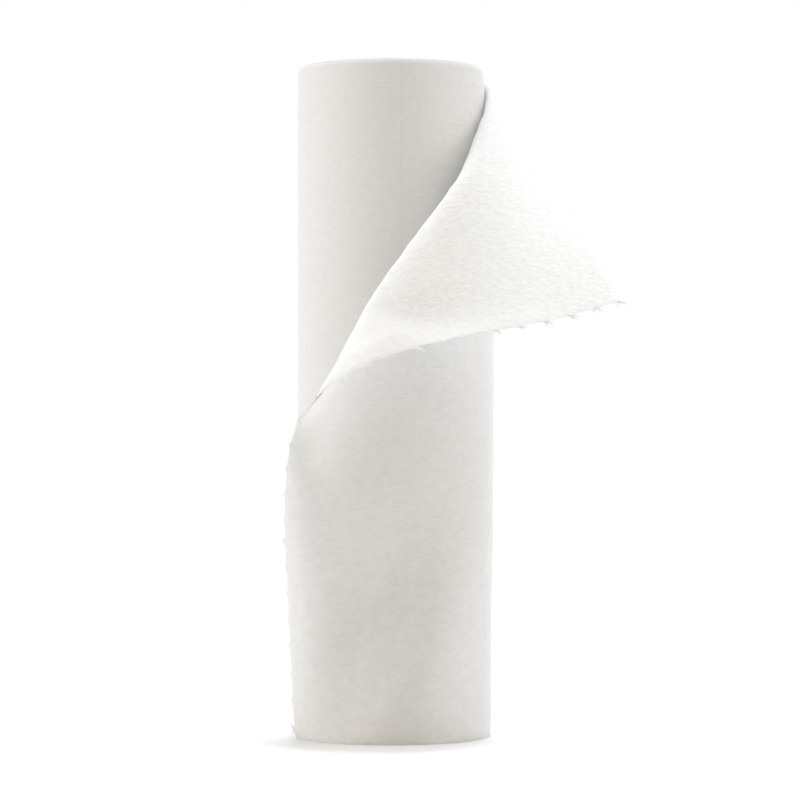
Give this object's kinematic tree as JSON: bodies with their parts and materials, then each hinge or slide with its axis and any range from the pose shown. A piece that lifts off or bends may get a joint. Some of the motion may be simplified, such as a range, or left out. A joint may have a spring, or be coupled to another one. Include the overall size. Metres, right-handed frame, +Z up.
{
  "type": "kitchen roll",
  "caption": "Tall slim roll of soft nonwoven kitchen towel on a cardboard core, standing on end, its last sheet loose and its torn corner peeled forward and down to the right.",
  "frame": {"origin": "on the core's axis, in the plane of the lower end", "axes": "+Z up along the core's axis, -Y to the front where the peeled sheet hangs, +X to the viewer's right"},
  "size_m": [0.1318, 0.1102, 0.28],
  "materials": {
    "web": "matt",
    "core": "matt"
  },
  "bodies": {
    "root": {"core_tube": "core", "towel_web": "web"}
  },
  "joints": []
}
